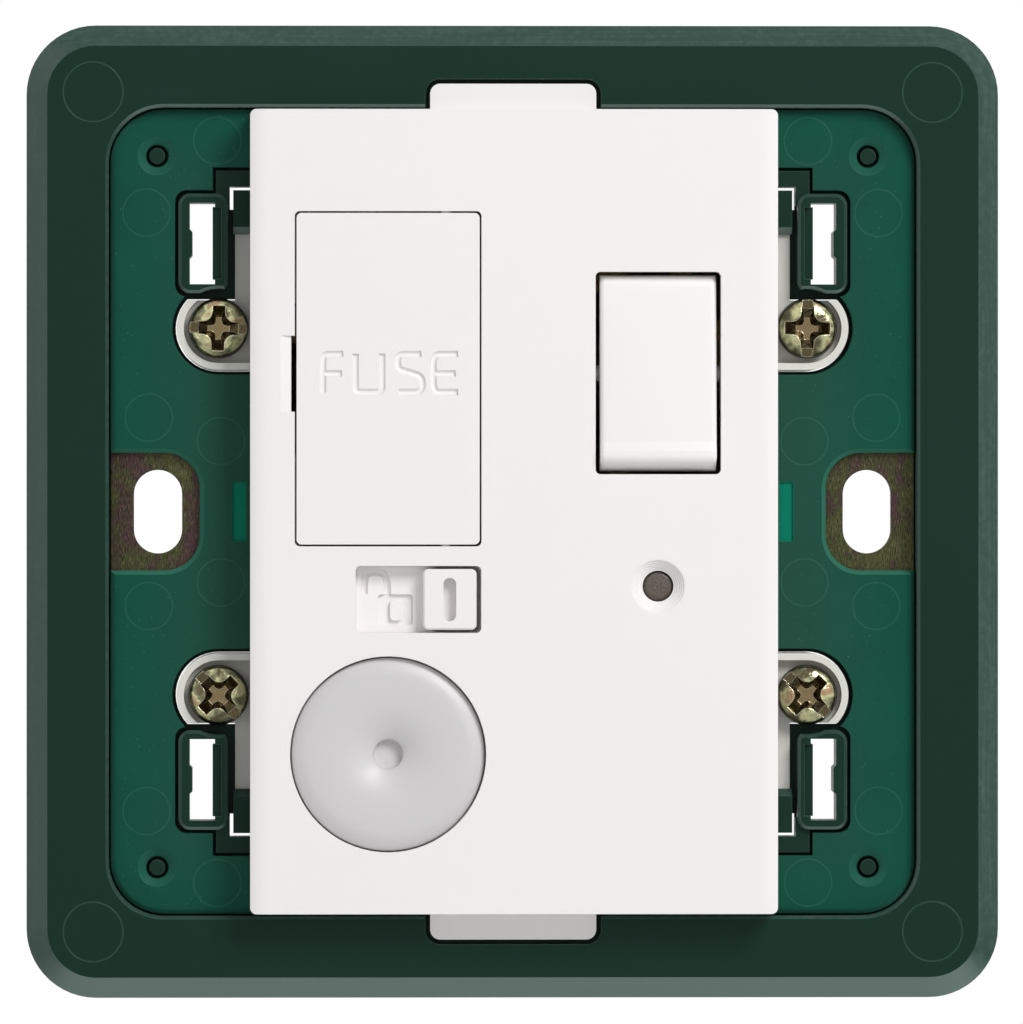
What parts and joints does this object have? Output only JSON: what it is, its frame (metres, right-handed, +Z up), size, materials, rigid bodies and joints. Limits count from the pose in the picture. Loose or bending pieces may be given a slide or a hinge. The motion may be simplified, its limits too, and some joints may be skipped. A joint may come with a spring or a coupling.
{
  "type": "fused spur unit",
  "caption": "Square wall unit with a switched cartridge fuse: bevelled mounting frame, white module with hinged fuse carrier, slide lock, rocker, indicator and cord outlet.",
  "frame": {"origin": "centre of the mounting frame's rear plane, where it meets the wall", "axes": "+X to the right as seen from the room, +Z up, +Y into the wall"},
  "size_m": [0.0826, 0.03, 0.0826],
  "materials": {
    "frame_green": "satin",
    "cover_green": "satin",
    "zinc_steel": "brushed",
    "white_plastic": "satin",
    "grey_plastic": "gloss",
    "lens_dark": "gloss",
    "brass": "bright",
    "plated_metal": "bright",
    "spring_steel": "satin",
    "fuse_ceramic": "matt",
    "inner_plastic": "matt",
    "lamp_glass": "clear",
    "board_green": "matt"
  },
  "bodies": {
    "unit": {"mounting_frame": "frame_green", "fixing_plate": "zinc_steel", "insulating_cover": "cover_green", "front_cover": "white_plastic", "base_housing": "white_plastic", "live_inlet_strip": "brass", "neutral_inlet_strip": "brass", "live_fuse_strip": "brass", "live_outlet_strip": "brass", "neutral_outlet_strip": "brass", "terminal_cages": "brass", "terminal_screws": "zinc_steel", "cord_outlet_grommet": "grey_plastic", "indicator_lens": "lens_dark", "indicator_lamp": "lamp_glass", "indicator_board": "board_green", "cord_clamp_bar": "white_plastic", "cord_clamp_screws": "zinc_steel", "earth_terminal": "brass", "earth_screws": "zinc_steel", "assembly_screws": "spring_steel"},
    "fuse_carrier": {"fuse_door": "white_plastic", "fuse_tube": "fuse_ceramic", "fuse_caps": "plated_metal"},
    "rocker": {"switch_rocker": "white_plastic", "rocker_plungers": "inner_plastic", "rocker_springs": "spring_steel"},
    "live_arm": {"live_contact_arm": "brass"},
    "neutral_arm": {"neutral_contact_arm": "brass"},
    "lock": {"lock_slider": "white_plastic"}
  },
  "joints": [
    {"name": "fuse_carrier_hinge", "type": "hinge", "parent": "unit", "child": "fuse_carrier", "pos_m": [-0.00577, -0.0082, 0.01122], "axis": [0, 0, 1], "range_deg": [0, 85]},
    {"name": "rocker_hinge", "type": "hinge", "parent": "unit", "child": "rocker", "pos_m": [0.01217, -0.0061, 0.01171], "axis": [1, 0, 0], "range_deg": [0, 10]},
    {"name": "live_arm_hinge", "type": "hinge", "parent": "unit", "child": "live_arm", "pos_m": [0.00947, 0.0046, 0.01171], "axis": [1, 0, 0], "range_deg": [-14, 0]},
    {"name": "neutral_arm_hinge", "type": "hinge", "parent": "unit", "child": "neutral_arm", "pos_m": [0.01487, 0.0046, 0.01171], "axis": [1, 0, 0], "range_deg": [-14, 0]},
    {"name": "lock_slide", "type": "slide", "parent": "unit", "child": "lock", "axis": [-1, 0, 0], "range_m": [0, 0.00529]}
  ],
  "couplings": [
    {"joint": "live_arm_hinge", "follows": "rocker_hinge", "ratio": -1.4},
    {"joint": "neutral_arm_hinge", "follows": "rocker_hinge", "ratio": -1.4}
  ]
}
